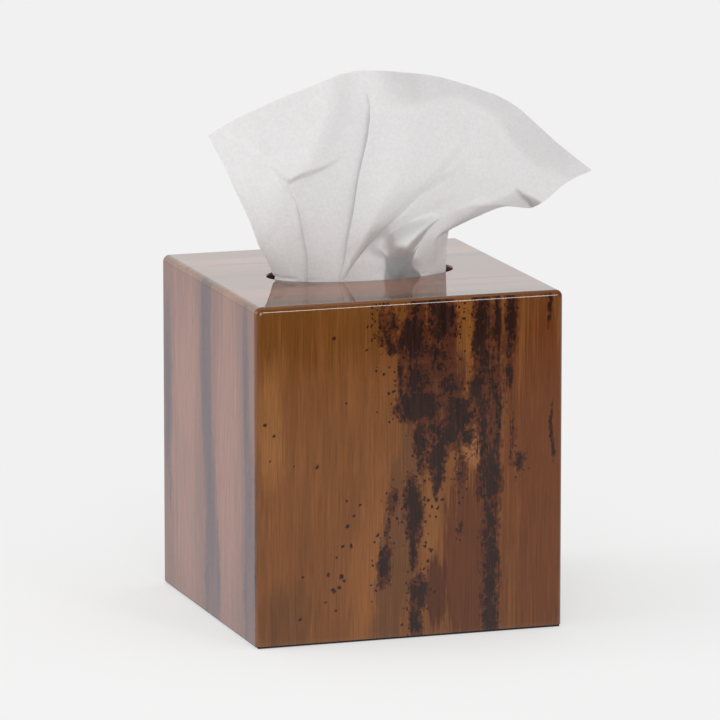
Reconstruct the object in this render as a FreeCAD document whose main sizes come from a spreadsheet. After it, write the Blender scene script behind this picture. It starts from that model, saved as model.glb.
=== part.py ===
"""A square tissue box cover: a mitred board carcass skinned with lacquered bark veneer, standing on felt.

The cover drops over a cube carton of tissues. Its top has an oval slot, and one tissue stands out of it.
Millimetres, +Z up, origin on the table under the middle of the slot, the front facing -Y.
"""

import math
import os

import FreeCAD, Part
import Sketcher
from FreeCAD import Placement, Rotation, Vector

doc = FreeCAD.newDocument("tissue_box_cover")

# Driving sizes in millimetres, and one count.
SIZES = {
    "cover_side": (140.0, "outside width and depth of the cover"),
    "cover_height": (149.5, "from the table to the lacquered top"),
    "edge_radius": (3.0, "soft round along the top and upright edges"),
    "veneer_thickness": (1.0, "bark veneer with its lacquer"),
    "glue_line": (0.1, "glue between veneer and board"),
    "panel_thickness": (6.0, "board of the walls and the top"),
    "rebate_depth": (2.0, "how far the top board drops in between the walls"),
    "plug_clearance": (0.2, "room between that drop and each wall"),
    "slot_length": (85.0, "oval slot in the top, left to right"),
    "slot_width": (43.0, "oval slot, front to back"),
    "slot_round": (0.7, "softened rim of the slot"),
    "block_leg": (9.0, "glue block, along each of its two walls"),
    "block_setback": (5.0, "glue block, short of the walls' foot and of the top board"),
    "felt_thickness": (1.0, "felt under the walls"),
    "felt_margin": (0.15, "felt kept back from the rounded corners"),
    "carton_side": (112.0, "width and depth of the cube carton"),
    "carton_height": (127.0, "height of the carton"),
    "board_thickness": (0.6, "carton board"),
    "window_length": (94.0, "torn-out oval in the carton's top, left to right"),
    "window_width": (56.0, "torn-out oval, front to back"),
    "film_thickness": (0.15, "film glued under that oval"),
    "film_border": (6.0, "film beyond the oval, all round"),
    "slit_length": (88.0, "slit in the film, left to right"),
    "slit_width": (18.0, "slit as the tissues hold it open"),
    "stack_clearance": (1.5, "stack to each wall of the carton"),
    "stack_height": (70.0, "tissues left in the carton, to the top of their bend"),
    "stack_crown": (9.0, "rise of that bend over its shoulders"),
    "tissue_thickness": (0.6, "sheet with its loft"),
    "tissue_folds": (6, "half waves across a sheet, a count"),
    "tissue_clearance": (0.4, "sheet to the rim that it leans on"),
    "gather_gap": (2.5, "gathered sheet to each end of the slot"),
    "tail_gap": (6.9, "tail of the pulled sheet over the stack"),
    "tail_swing": (1.2, "half depth of the folds below the slot"),
    "slot_swing": (2.4, "half depth of the folds in the slot"),
    "fold_swing": (2.0, "half depth of the folds along the top of the sheet"),
    "tissue_rise": (90.0, "top of the pulled sheet over the cover"),
    "crest_offset": (3.0, "that top, right of the middle"),
    "left_reach": (70.0, "left corner of the sheet, out from the middle"),
    "left_rise": (64.5, "left corner over the cover"),
    "right_reach": (104.0, "right corner, out from the middle"),
    "right_rise": (41.0, "right corner over the cover"),
    "tip_reach": (77.0, "lower tip of the right edge, out from the middle"),
    "tip_rise": (28.0, "lower tip over the cover"),
    "throat_rise": (18.0, "where the right edge turns out, over the cover"),
    "throat_bow": (25.5, "sheet in front of the slot's middle, where the right edge turns out"),
    "sail_bow": (28.5, "sheet in front of the slot's middle, where it stands out most"),
    "shoulder_bow": (22.0, "sheet in front of the slot's middle, as high as its left corner"),
    "crest_bow": (11.5, "sheet in front of the slot's middle, along its top"),
    "left_bow": (11.5, "left edge in front of the slot's middle"),
    "left_corner_bow": (2.0, "left corner in front of the slot's middle"),
    "right_bow": (13.0, "right edge in front of the slot's middle"),
    "tuft_rise": (9.0, "next tissue over the carton"),
    "tuft_drop": (6.0, "ends of that tuft below its middle"),
    "trim_margin": (3.0, "folded sheet beyond the outline that it is trimmed to"),
}

sheet = doc.addObject("Spreadsheet::Sheet", "Sizes")
for row, (alias, (value, note)) in enumerate(SIZES.items(), start=1):
    sheet.set(f"A{row}", note)
    sheet.set(f"B{row}", str(value))
    sheet.setAlias(f"B{row}", alias)
doc.recompute()


def size(alias):
    """A driving size, read back from the sheet."""
    return float(sheet.get(alias))


# Places that several pieces share, as expressions on the sheet.
HALF = "(Sizes.cover_side / 2)"
SKIN = "(Sizes.veneer_thickness + Sizes.glue_line)"
CORE_HALF = f"({HALF} - {SKIN})"
INNER_HALF = f"({CORE_HALF} - Sizes.panel_thickness)"
CORE_TOP = f"(Sizes.cover_height - {SKIN})"
WALL_TOP = f"({CORE_TOP} - Sizes.panel_thickness)"
WALL_HEIGHT = f"({WALL_TOP} - Sizes.felt_thickness)"
SKIN_HEIGHT = "(Sizes.cover_height - Sizes.felt_thickness)"
FILM_FLOOR = "(Sizes.carton_height - Sizes.board_thickness - Sizes.film_thickness)"

# A rounded inner edge keeps at least this radius when the outer edge is made sharper.
LEAST_ROUND = 0.2
SKIN_ROUND = f"max(Sizes.edge_radius - Sizes.veneer_thickness; {LEAST_ROUND})"
CORE_ROUND = f"max(Sizes.edge_radius - {SKIN}; {LEAST_ROUND})"

SIDES = ["front", "right", "back", "left"]
CORNERS = ["front_left", "front_right", "back_right", "back_left"]
CORNER_SIGNS = [(-1, -1), (1, -1), (1, 1), (-1, 1)]
QUARTER_TURN = 90.0
UPRIGHT = Vector(0, 0, 1)
subparts = []


def subpart(obj, label):
    """Names an object as one of the separate pieces."""
    obj.Label = label
    subparts.append(obj)


def turned(index):
    """The placement that takes a piece from the front of the cover to the side with this index."""
    return Placement(Vector(0, 0, 0), Rotation(UPRIGHT, QUARTER_TURN * index))


def to_corner(obj, index, reach):
    """Turns a piece that is drawn from a corner and stands it in the corner with this index."""
    obj.Placement = turned(index)
    for axis, sign in zip("xy", CORNER_SIGNS[index]):
        obj.setExpression(f"Placement.Base.{axis}", f"{sign} * {reach}")


def new_sketch(body, name, height):
    """A level sketch on the body's own XY plane, lifted to a height."""
    sketch = body.newObject("Sketcher::SketchObject", name)
    level = next(plane for plane in body.Origin.OriginFeatures if plane.Role == "XY_Plane")
    sketch.AttachmentSupport = (level, [""])
    sketch.MapMode = "FlatFace"
    sketch.setExpression("AttachmentOffset.Base.z", height)
    return sketch


def bind(sketch, kind, *where, to):
    """Adds a dimension to a sketch and ties it to an expression."""
    rough_size = 10.0
    index = sketch.addConstraint(Sketcher.Constraint(kind, *where, rough_size))
    sketch.setExpression(f"Constraints[{index}]", to)


def outline(sketch, corners):
    """A closed straight outline through rough corners, which its dimensions then bring to size."""
    lines = []
    for here, there in zip(corners, corners[1:] + corners[:1]):
        lines.append(sketch.addGeometry(Part.LineSegment(Vector(*here, 0), Vector(*there, 0))))
    for here, there in zip(lines, lines[1:] + lines[:1]):
        sketch.addConstraint(Sketcher.Constraint("Coincident", here, 2, there, 1))
    return lines


def rectangle(sketch, width, depth):
    """A rectangle about the sketch's origin."""
    near, right, far, left = outline(sketch, [(-5, -5), (5, -5), (5, 5), (-5, 5)])
    for line in (near, far):
        sketch.addConstraint(Sketcher.Constraint("Horizontal", line))
    for line in (right, left):
        sketch.addConstraint(Sketcher.Constraint("Vertical", line))
    sketch.addConstraint(Sketcher.Constraint("Symmetric", near, 1, right, 2, -1, 1))
    bind(sketch, "DistanceX", near, 1, near, 2, to=width)
    bind(sketch, "DistanceY", right, 1, right, 2, to=depth)


def oval(sketch, length, width):
    """An ellipse about the sketch's origin, its long axis left to right."""
    curve = sketch.addGeometry(Part.Ellipse(Vector(0, 0, 0), 10.0, 5.0))
    sketch.exposeInternalGeometry(curve)
    long_axis = curve + 1
    short_axis = curve + 2
    sketch.addConstraint(Sketcher.Constraint("Coincident", curve, 3, -1, 1))
    sketch.addConstraint(Sketcher.Constraint("Horizontal", long_axis))
    bind(sketch, "Distance", long_axis, to=length)
    bind(sketch, "Distance", short_axis, to=width)


def pad(body, sketch, length, down=False):
    feature = body.newObject("PartDesign::Pad", "Pad")
    feature.Profile = sketch
    feature.Reversed = down
    feature.setExpression("Length", length)
    doc.recompute()
    return feature


def pocket(body, sketch, length, up=False):
    """Cuts an outline out of the body, and stops if nothing came away."""
    before = body.Shape.Volume
    feature = body.newObject("PartDesign::Pocket", "Pocket")
    feature.Profile = sketch
    feature.Reversed = up
    feature.setExpression("Length", length)
    doc.recompute()
    if body.Shape.Volume >= before:
        raise RuntimeError(f"{body.Label}: a pocket cut nothing")
    return feature


def soften(body, radius, wanted):
    """Rounds those edges of the body that the test picks, given each edge's box and the body's own."""
    base = body.Tip
    whole = base.Shape.BoundBox
    names = [f"Edge{i}" for i, edge in enumerate(base.Shape.Edges, start=1) if wanted(edge.BoundBox, whole)]
    fillet = body.newObject("PartDesign::Fillet", "Fillet")
    fillet.Base = (base, names)
    fillet.setExpression("Radius", radius)
    doc.recompute()


# Lengths below this count as none, when edges are told apart.
FLAT = 1e-4


def is_top(edge, whole):
    return edge.ZMin > whole.ZMax - FLAT


def is_upright(edge, whole):
    return edge.XLength < FLAT and edge.YLength < FLAT


def is_outer(edge, whole):
    return is_top(edge, whole) or is_upright(edge, whole)


def is_slot_rim(edge, whole):
    return is_top(edge, whole) and edge.XLength > FLAT and edge.YLength > FLAT


def block(name, half, floor, height, round_radius, rounded):
    """A square block about the upright axis, with its chosen edges rounded."""
    body = doc.addObject("PartDesign::Body", name)
    square = new_sketch(body, f"{name}_plan", floor)
    rectangle(square, f"2 * {half}", f"2 * {half}")
    pad(body, square, height)
    soften(body, round_radius, rounded)
    return body


def mitre_wedge(name, half, floor, top, depth, floor_slope="0", top_slope="0"):
    """One side's share: a slab behind the front face, mitred at its ends, and at floor and top if asked."""
    wedge = doc.addObject("Part::Wedge", name)
    bounds = {
        "Xmin": f"-{half}",
        "Xmax": half,
        "Ymin": f"-{half}",
        "Ymax": f"-{half} + {depth}",
        "Zmin": floor,
        "Zmax": top,
        "X2min": f"-{half} + {depth}",
        "X2max": f"{half} - {depth}",
        "Z2min": f"{floor} + {floor_slope}",
        "Z2max": f"{top} - {top_slope}",
    }
    for bound, expression in bounds.items():
        wedge.setExpression(bound, expression)
    return wedge


def boolean(kind, name, base, tool):
    result = doc.addObject(f"Part::{kind}", name)
    result.Base = base
    result.Tool = tool
    return result


# Felt: four equal strips laid end to side around the foot of the walls, hidden behind the rounded corners.
ROUND_INSET = f"(Sizes.edge_radius * {1 - math.sqrt(0.5)} + Sizes.felt_margin)"
FELT_REACH = f"({HALF} - {ROUND_INSET})"
FELT_WIDTH = f"({FELT_REACH} - {INNER_HALF})"
for index, side in enumerate(SIDES):
    felt = doc.addObject("Part::Box", f"felt_strip_{side}")
    felt.setExpression("Length", f"2 * {FELT_REACH} - {FELT_WIDTH}")
    felt.setExpression("Width", FELT_WIDTH)
    felt.setExpression("Height", "Sizes.felt_thickness")
    to_corner(felt, index, FELT_REACH)
    subpart(felt, f"felt_strip_{side}")

# Walls: four boards mitred at the corners, their outer corners eased to follow the veneer.
core = block("core_blank", CORE_HALF, "Sizes.felt_thickness", WALL_HEIGHT, CORE_ROUND, is_upright)
for index, side in enumerate(SIDES):
    share = mitre_wedge(
        f"{side}_panel_share", CORE_HALF, "Sizes.felt_thickness", WALL_TOP, "Sizes.panel_thickness"
    )
    share.Placement = turned(index)
    subpart(boolean("Common", f"{side}_panel", core, share), f"{side}_panel")

# Glue blocks: a three-cornered stick in each inner corner.
for index, corner in enumerate(CORNERS):
    stick = doc.addObject("PartDesign::Body", f"corner_block_{corner}")
    plan = new_sketch(stick, f"block_plan_{corner}", "Sizes.felt_thickness + Sizes.block_setback")
    along_x, slope, along_y = outline(plan, [(0, 0), (5, 0), (0, 5)])
    plan.addConstraint(Sketcher.Constraint("Coincident", along_x, 1, -1, 1))
    plan.addConstraint(Sketcher.Constraint("Horizontal", along_x))
    plan.addConstraint(Sketcher.Constraint("Vertical", along_y))
    bind(plan, "DistanceX", along_x, 1, along_x, 2, to="Sizes.block_leg")
    bind(plan, "DistanceY", along_y, 2, along_y, 1, to="Sizes.block_leg")
    pad(stick, plan, f"{WALL_HEIGHT} - Sizes.rebate_depth - 2 * Sizes.block_setback")
    to_corner(stick, index, INNER_HALF)
    subpart(stick, f"corner_block_{corner}")

# Top board: it lies on the walls, with a drop that locates it between them, and the oval slot is cut through.
top_board = block("top_panel", CORE_HALF, WALL_TOP, "Sizes.panel_thickness", CORE_ROUND, is_outer)
drop_plan = new_sketch(top_board, "drop_plan", WALL_TOP)
rectangle(
    drop_plan,
    f"2 * ({INNER_HALF} - Sizes.plug_clearance)",
    f"2 * ({INNER_HALF} - Sizes.plug_clearance)",
)
pad(top_board, drop_plan, "Sizes.rebate_depth", down=True)
board_slot = new_sketch(top_board, "board_slot", CORE_TOP)
oval(board_slot, "Sizes.slot_length", "Sizes.slot_width")
pocket(top_board, board_slot, "Sizes.panel_thickness + Sizes.rebate_depth")
subpart(top_board, "top_panel")

# Veneer: a thin shell over the whole carcass, cut at 45 degrees along its edges into five sheets.
# The slot's rim is rounded by no more than most of the veneer's thickness.
MOST_OF_VENEER = 0.9
outside = block("veneer_outside", HALF, "Sizes.felt_thickness", SKIN_HEIGHT, "Sizes.edge_radius", is_outer)
veneer_slot = new_sketch(outside, "veneer_slot", "Sizes.cover_height")
oval(veneer_slot, "Sizes.slot_length", "Sizes.slot_width")
pocket(outside, veneer_slot, "Sizes.edge_radius + Sizes.veneer_thickness")
soften(outside, f"min(Sizes.slot_round; Sizes.veneer_thickness * {MOST_OF_VENEER})", is_slot_rim)
SKIN_HALF = f"({HALF} - Sizes.veneer_thickness)"
inside = block(
    "veneer_inside",
    SKIN_HALF,
    "Sizes.felt_thickness",
    f"{SKIN_HEIGHT} - Sizes.veneer_thickness",
    SKIN_ROUND,
    is_outer,
)
shell = boolean("Cut", "veneer_shell", outside, inside)
MITRE_DEPTH = "(Sizes.edge_radius + Sizes.veneer_thickness)"
for index, side in enumerate(SIDES):
    share = mitre_wedge(
        f"{side}_veneer_share",
        HALF,
        "Sizes.felt_thickness",
        "Sizes.cover_height",
        MITRE_DEPTH,
        top_slope=MITRE_DEPTH,
    )
    share.Placement = turned(index)
    subpart(boolean("Common", f"{side}_veneer", shell, share), f"{side}_veneer")
top_share = mitre_wedge(
    "top_veneer_share", HALF, f"-{HALF}", HALF, MITRE_DEPTH, floor_slope=MITRE_DEPTH, top_slope=MITRE_DEPTH
)
top_share.Placement = Placement(Vector(0, 0, 0), Rotation(Vector(1, 0, 0), -QUARTER_TURN))
top_share.setExpression("Placement.Base.z", f"Sizes.cover_height - {HALF}")
subpart(boolean("Common", "top_veneer", shell, top_share), "top_veneer")

# Carton: a closed cube of thin board with an oval torn out of its top.
carton = doc.addObject("PartDesign::Body", "tissue_carton")
carton_plan = new_sketch(carton, "carton_plan", "0")
rectangle(carton_plan, "Sizes.carton_side", "Sizes.carton_side")
pad(carton, carton_plan, "Sizes.carton_height")
hollow_plan = new_sketch(carton, "hollow_plan", "Sizes.board_thickness")
CARTON_INSIDE = "(Sizes.carton_side - 2 * Sizes.board_thickness)"
rectangle(hollow_plan, CARTON_INSIDE, CARTON_INSIDE)
pocket(carton, hollow_plan, "Sizes.carton_height - 2 * Sizes.board_thickness", up=True)
window = new_sketch(carton, "window", "Sizes.carton_height")
oval(window, "Sizes.window_length", "Sizes.window_width")
pocket(carton, window, "Sizes.board_thickness")
subpart(carton, "tissue_carton")

# Film: glued under the carton's top, with the slit that grips the tissues.
film = doc.addObject("PartDesign::Body", "slit_film")
film_plan = new_sketch(film, "film_plan", FILM_FLOOR)
rectangle(
    film_plan,
    "Sizes.window_length + 2 * Sizes.film_border",
    "Sizes.window_width + 2 * Sizes.film_border",
)
pad(film, film_plan, "Sizes.film_thickness")
slit = new_sketch(film, "slit", f"{FILM_FLOOR} + Sizes.film_thickness")
oval(slit, "Sizes.slit_length", "Sizes.slit_width")
pocket(film, slit, "Sizes.film_thickness")
subpart(film, "slit_film")

# Stack: the folded tissues that are left, bent over along the slit, so that their top is arched.
STACK_SIDE = f"({CARTON_INSIDE} - 2 * Sizes.stack_clearance)"
STACK_TOP = "(Sizes.board_thickness + Sizes.stack_height)"
BEND_RADIUS = f"((({STACK_SIDE} / 2) ^ 2 + Sizes.stack_crown ^ 2) / (2 * Sizes.stack_crown))"
leaves = doc.addObject("Part::Box", "stack_leaves")
for edge in ("Length", "Width"):
    leaves.setExpression(edge, STACK_SIDE)
leaves.setExpression("Height", "Sizes.stack_height")
for axis in "xy":
    leaves.setExpression(f"Placement.Base.{axis}", f"-{STACK_SIDE} / 2")
leaves.setExpression("Placement.Base.z", "Sizes.board_thickness")
bend = doc.addObject("Part::Cylinder", "stack_bend")
bend.setExpression("Radius", BEND_RADIUS)
bend.setExpression("Height", STACK_SIDE)
bend.Placement = Placement(Vector(0, 0, 0), Rotation(Vector(0, 1, 0), QUARTER_TURN))
bend.setExpression("Placement.Base.x", f"-{STACK_SIDE} / 2")
bend.setExpression("Placement.Base.z", f"{STACK_TOP} - {BEND_RADIUS}")
subpart(boolean("Common", "tissue_stack", leaves, bend), "tissue_stack")


# Tissues: sheets gathered in the slit and the slot. Each is lofted through level sections, every one
# a row of half waves about a line that follows the rim it leans on, and is then trimmed to its outline.
def rim(x, length, width):
    """Half the width of an oval opening, at a place along its length."""
    return width / 2 * math.sqrt(1 - (2 * x / length) ** 2)


def section(height, left, right, line, swing):
    """A closed level outline, one sheet thick: half waves bulge to and fro between points on a line."""
    folds = round(size("tissue_folds"))
    step = (right - left) / folds
    thickness = Vector(0, size("tissue_thickness"), 0)
    near = []
    for fold in range(folds):
        start = left + fold * step
        bulge = swing if fold % 2 else -swing
        middle = start + step / 2
        end = start + step
        near.append(
            Part.Arc(
                Vector(start, line(start), height),
                Vector(middle, line(middle) + bulge, height),
                Vector(end, line(end), height),
            ).toShape()
        )
    far = [edge.translated(thickness) for edge in reversed(near)]
    first = Vector(left, line(left), height)
    last = Vector(right, line(right), height)
    right_end = Part.makeLine(last, last + thickness)
    left_end = Part.makeLine(first + thickness, first)
    return Part.Wire(near + [right_end] + far + [left_end])


def trimmed(sections, edges):
    """A sheet through its sections, cut to an upright outline that runs through it from front to back."""
    folded = Part.makeLoft(sections, True, True)
    front = Part.Face(Part.Wire(edges))
    cutter = front.extrude(Vector(0, size("cover_side"), 0))
    cutter.translate(Vector(0, -size("cover_side") / 2, 0))
    return folded.common(cutter).Solids[0]


def strip(points):
    """Straight edges through points of the upright middle plane."""
    corners = [Vector(x, 0, z) for x, z in points]
    return [Part.makeLine(here, there) for here, there in zip(corners, corners[1:])]


cover_top = size("cover_height")
carton_top = size("carton_height")
stack_top = size("board_thickness") + size("stack_height")
margin = size("trim_margin")
gathered = min(size("slot_length"), size("slit_length")) / 2 - size("gather_gap")


def front_of_slit(x):
    return -rim(x, size("slit_length"), size("slit_width")) + size("tissue_clearance") + size("tail_swing")


def back_of_slit(x):
    return -front_of_slit(x) - size("tissue_thickness")


def front_of_slot(x):
    return -rim(x, size("slot_length"), size("slot_width")) + size("tissue_clearance") + size("slot_swing")


def left_edge(rise):
    """Where the pulled sheet's left edge stands, on its way from the slot to the left corner."""
    foot = gathered + margin
    return -foot - (size("left_reach") - foot) * rise / size("left_rise")


# How the bow of the pulled sheet falls off towards its edges: 1 is straight, 2 is a parabola.
BOW_POWER = 1.5


def over_slot(rise, right, bow, left_bow):
    """A section of the pulled sheet above the slot: its middle bows out in front of its two edges."""
    left = left_edge(rise) - margin
    share = rise / (size("tissue_rise") + margin)
    swing = size("slot_swing") + share * (size("fold_swing") - size("slot_swing"))
    centre = size("crest_offset")

    def line(x):
        end, end_bow = (left, left_bow) if x < centre else (right, size("right_bow"))
        return (bow - end_bow) * abs((x - centre) / (end - centre)) ** BOW_POWER - bow

    return section(cover_top + rise, left, right, line, swing)


# Pulled tissue: its tail hangs in the carton, it leans on the front of the slot, and it fans out above.
tail_floor = stack_top + size("tail_gap")
beyond_corner = size("right_reach") + margin
pulled_sections = [
    section(tail_floor, -gathered, gathered, front_of_slit, size("tail_swing")),
    section(carton_top, -gathered, gathered, front_of_slit, size("tail_swing")),
    section(cover_top, -gathered, gathered, front_of_slot, size("slot_swing")),
    over_slot(size("throat_rise"), gathered + 2 * margin, size("throat_bow"), size("left_bow")),
    over_slot(size("tip_rise"), size("tip_reach") + margin, size("sail_bow"), size("left_bow")),
    over_slot(size("right_rise"), beyond_corner, size("sail_bow"), size("left_bow")),
    over_slot(size("left_rise"), beyond_corner, size("shoulder_bow"), size("left_corner_bow")),
    over_slot(size("tissue_rise") + margin, beyond_corner, size("crest_bow"), size("left_corner_bow")),
]
left_corner = (-size("left_reach"), cover_top + size("left_rise"))
right_corner = (size("right_reach"), cover_top + size("right_rise"))
crest = Vector(size("crest_offset"), 0, cover_top + size("tissue_rise"))
right_edge = strip(
    [
        right_corner,
        (size("tip_reach"), cover_top + size("tip_rise")),
        (gathered + margin, cover_top + size("throat_rise")),
        (gathered + margin, tail_floor - margin),
        (-gathered - margin, tail_floor - margin),
        (-gathered - margin, cover_top),
        left_corner,
    ]
)
top_edge = Part.Arc(right_edge[-1].lastVertex().Point, crest, right_edge[0].firstVertex().Point).toShape()
pulled = doc.addObject("Part::Feature", "pulled_tissue")
pulled.Shape = trimmed(pulled_sections, right_edge + [top_edge])
subpart(pulled, "pulled_tissue")

# Next tissue: it rises from the bend of the stack and peeps through the back of the slit.
tuft_floor = stack_top + size("tissue_clearance")
tuft_crest = carton_top + size("tuft_rise")
tuft_end = tuft_crest - size("tuft_drop")


def along_bend(x):
    return -size("tissue_thickness") / 2


film_floor = carton_top - size("board_thickness") - size("film_thickness")
next_sections = [
    section(tuft_floor, -gathered, gathered, along_bend, size("tail_swing")),
    section(film_floor, -gathered, gathered, back_of_slit, size("tail_swing")),
    section(tuft_crest + margin, -gathered, gathered, back_of_slit, size("tail_swing")),
]
tuft_sides = strip(
    [
        (gathered + margin, tuft_end),
        (gathered + margin, tuft_floor - margin),
        (-gathered - margin, tuft_floor - margin),
        (-gathered - margin, tuft_end),
    ]
)
tuft_arch = Part.Arc(
    tuft_sides[-1].lastVertex().Point,
    Vector(0, 0, tuft_crest),
    tuft_sides[0].firstVertex().Point,
).toShape()
next_sheet = doc.addObject("Part::Feature", "next_tissue")
next_sheet.Shape = trimmed(next_sections, tuft_sides + [tuft_arch])
subpart(next_sheet, "next_tissue")

# Every object has to be sound before any piece is written.
doc.recompute()
for obj in doc.Objects:
    if "Invalid" in obj.State or "Error" in obj.State:
        raise RuntimeError(f"{obj.Label} did not build: {obj.State}")
for piece in subparts:
    if piece.Shape.isNull() or not piece.Shape.isValid() or len(piece.Shape.Solids) != 1:
        raise RuntimeError(f"{piece.Label} is not one sound solid")

os.makedirs("parts", exist_ok=True)
for piece in subparts:
    piece.Shape.exportStep(f"parts/{piece.Label}.step")
    print(f"{piece.Label}: {piece.Shape.Volume / 1000:.2f} cm3")
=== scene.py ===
"""A tissue box cover in lacquered bark veneer over a carton of tissues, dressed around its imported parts."""

import math

import bpy
import numpy as np
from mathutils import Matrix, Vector, noise


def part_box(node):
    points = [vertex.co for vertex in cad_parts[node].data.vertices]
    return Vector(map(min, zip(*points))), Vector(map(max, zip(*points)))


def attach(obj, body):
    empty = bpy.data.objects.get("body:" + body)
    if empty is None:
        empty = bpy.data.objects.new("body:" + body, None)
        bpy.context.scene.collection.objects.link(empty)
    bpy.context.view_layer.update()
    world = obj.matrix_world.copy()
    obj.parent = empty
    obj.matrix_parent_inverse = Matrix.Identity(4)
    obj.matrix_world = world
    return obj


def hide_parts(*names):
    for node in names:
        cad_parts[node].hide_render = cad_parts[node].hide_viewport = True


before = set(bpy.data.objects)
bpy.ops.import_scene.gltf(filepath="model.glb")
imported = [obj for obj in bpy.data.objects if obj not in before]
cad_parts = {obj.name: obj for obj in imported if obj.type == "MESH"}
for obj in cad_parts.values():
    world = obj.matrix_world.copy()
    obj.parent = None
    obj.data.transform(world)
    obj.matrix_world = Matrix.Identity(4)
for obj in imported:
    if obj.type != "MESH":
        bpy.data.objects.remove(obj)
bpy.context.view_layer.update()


# Carton: a cube folded from plain, unprinted boxboard, which stands on the table inside the cover.
# The clay-coated board is off-white and matt, with a faint mottle in its pulp.
MM = 0.001


def colour(hex_code):
    """A colour written in sRGB, as the linear RGBA that a shader takes."""
    shares = [int(hex_code[i : i + 2], 16) / 255 for i in (1, 3, 5)]
    return [s / 12.92 if s <= 0.04045 else ((s + 0.055) / 1.055) ** 2.4 for s in shares] + [1.0]


def node(tree, kind, inputs=None, stops=None, **settings):
    """Adds a node. Its inputs are values, or outputs to link from, and a ramp has (place, colour) stops.

    An input goes by its name or its number: in a map range 0 is the value, 1 and 2 are where it comes
    from, and 3 and 4 are where it goes to; in a colour mix 0 is the share, and 6 and 7 are the colours.
    """
    made = tree.nodes.new(kind)
    for name, value in settings.items():
        setattr(made, name, value)
    for socket, value in (inputs or {}).items():
        if isinstance(value, bpy.types.NodeSocket):
            tree.links.new(value, made.inputs[socket])
        else:
            made.inputs[socket].default_value = value
    for i, (place, hex_code) in enumerate(stops or []):
        stop = made.color_ramp.elements[i] if i < 2 else made.color_ramp.elements.new(place)
        stop.position = place
        stop.color = colour(hex_code)
    return made


def start_material(name):
    """A new material: itself, its node tree, and the place of each point of a piece in millimetres."""
    material = bpy.data.materials.new(name)
    material.use_nodes = True
    tree = material.node_tree
    tree.nodes.clear()
    place = node(tree, "ShaderNodeTexCoord").outputs["Object"]
    scaled = node(tree, "ShaderNodeVectorMath", {"Vector": place, "Scale": 1 / MM}, operation="SCALE")
    return material, tree, scaled.outputs[0]


def end_material(tree, shader):
    """Links a shader to a new output."""
    node(tree, "ShaderNodeOutputMaterial", {"Surface": shader.outputs[0]})


def dress(material, *names):
    """Gives CAD nodes their material."""
    for name in names:
        for slot in bpy.data.objects[name].material_slots:
            slot.material = material


# Clay-coated folding boxboard: matt, with pulp mottle about 6 mm across and fibres of 0.7 mm in the bump.
boxboard, tree, place = start_material("clay_coated_boxboard")
mottle = node(tree, "ShaderNodeTexNoise", {"Vector": place, "Scale": 1 / 6, "Detail": 5, "Roughness": 0.7})
shade = node(tree, "ShaderNodeValToRGB", {0: mottle.outputs[0]}, [(0.3, "#d6d2c8"), (0.7, "#e2dfd7")])
fibre = node(tree, "ShaderNodeTexNoise", {"Vector": place, "Scale": 1 / 0.7, "Detail": 2})
relief = node(tree, "ShaderNodeBump", {"Strength": 0.25, "Distance": 0.1 * MM, "Height": fibre.outputs[0]})
board = {"Base Color": shade.outputs[0], "Roughness": 0.62, "Normal": relief.outputs[0]}
end_material(tree, node(tree, "ShaderNodeBsdfPrincipled", board))
dress(boxboard, "tissue_carton")


# Slit film: thin clear polythene, glued under the carton's window, with a slit that grips the tissues.
# It is nearly invisible, with soft ripples that break up its gloss.
film, tree, place = start_material("clear_polythene_film")
ripple = node(tree, "ShaderNodeTexNoise", {"Vector": place, "Scale": 1 / 14, "Detail": 2})
relief = node(tree, "ShaderNodeBump", {"Strength": 0.5, "Distance": 0.6 * MM, "Height": ripple.outputs[0]})
clear = {"Base Color": colour("#f2f5f6"), "Roughness": 0.12, "IOR": 1.5, "Alpha": 0.22}
clear["Normal"] = relief.outputs[0]
end_material(tree, node(tree, "ShaderNodeBsdfPrincipled", clear))
dress(film, "slit_film")


# Tissue stack: some sixty sheets of soft two-ply paper, interfolded and pressed, bent up along the slit.
# Their folded edges are the fine lines on its sides, and nothing but the carton holds them.
# Sizes are in mm. A leaf loses a share EDGE_THIN of its thickness at its edges, as steeply as EDGE_POWER.
LEAF_SIDE = 107.4
LEAF_PITCH = 1.0
LEAVES = 61
LEAF_BEND = 8.8
LEAF_SLIP = 0.5
EDGE_POWER = 20.0
EDGE_THIN = 0.8

# Soft two-ply tissue: white, matt, and thin enough that light comes through; its fibres are under 1 mm.
tissue_paper, tree, place = start_material("soft_tissue_paper")
fibre = node(tree, "ShaderNodeTexNoise", {"Vector": place, "Scale": 1 / 0.9, "Detail": 4, "Roughness": 0.7})
cloud = {"Vector": place, "Scale": 1 / 1.3, "Detail": 4, "Roughness": 0.75}
cloud = node(tree, "ShaderNodeTexNoise", cloud)
shade = node(tree, "ShaderNodeValToRGB", {0: cloud.outputs[0]}, [(0.3, "#ebeaea"), (0.7, "#f6f5f5")])
relief = node(tree, "ShaderNodeBump", {"Strength": 0.2, "Distance": 0.1 * MM, "Height": fibre.outputs[0]})
pulp = {"Base Color": shade.outputs[0], "Roughness": 0.9, "Specular IOR Level": 0.2}
pulp["Normal"] = relief.outputs[0]
lit_face = node(tree, "ShaderNodeBsdfPrincipled", pulp)
lit_through = {"Color": shade.outputs[0], "Normal": relief.outputs[0]}
lit_through = node(tree, "ShaderNodeBsdfTranslucent", lit_through)
both = {0: 0.4, 1: lit_face.outputs[0], 2: lit_through.outputs[0]}
end_material(tree, node(tree, "ShaderNodeMixShader", both))

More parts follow.
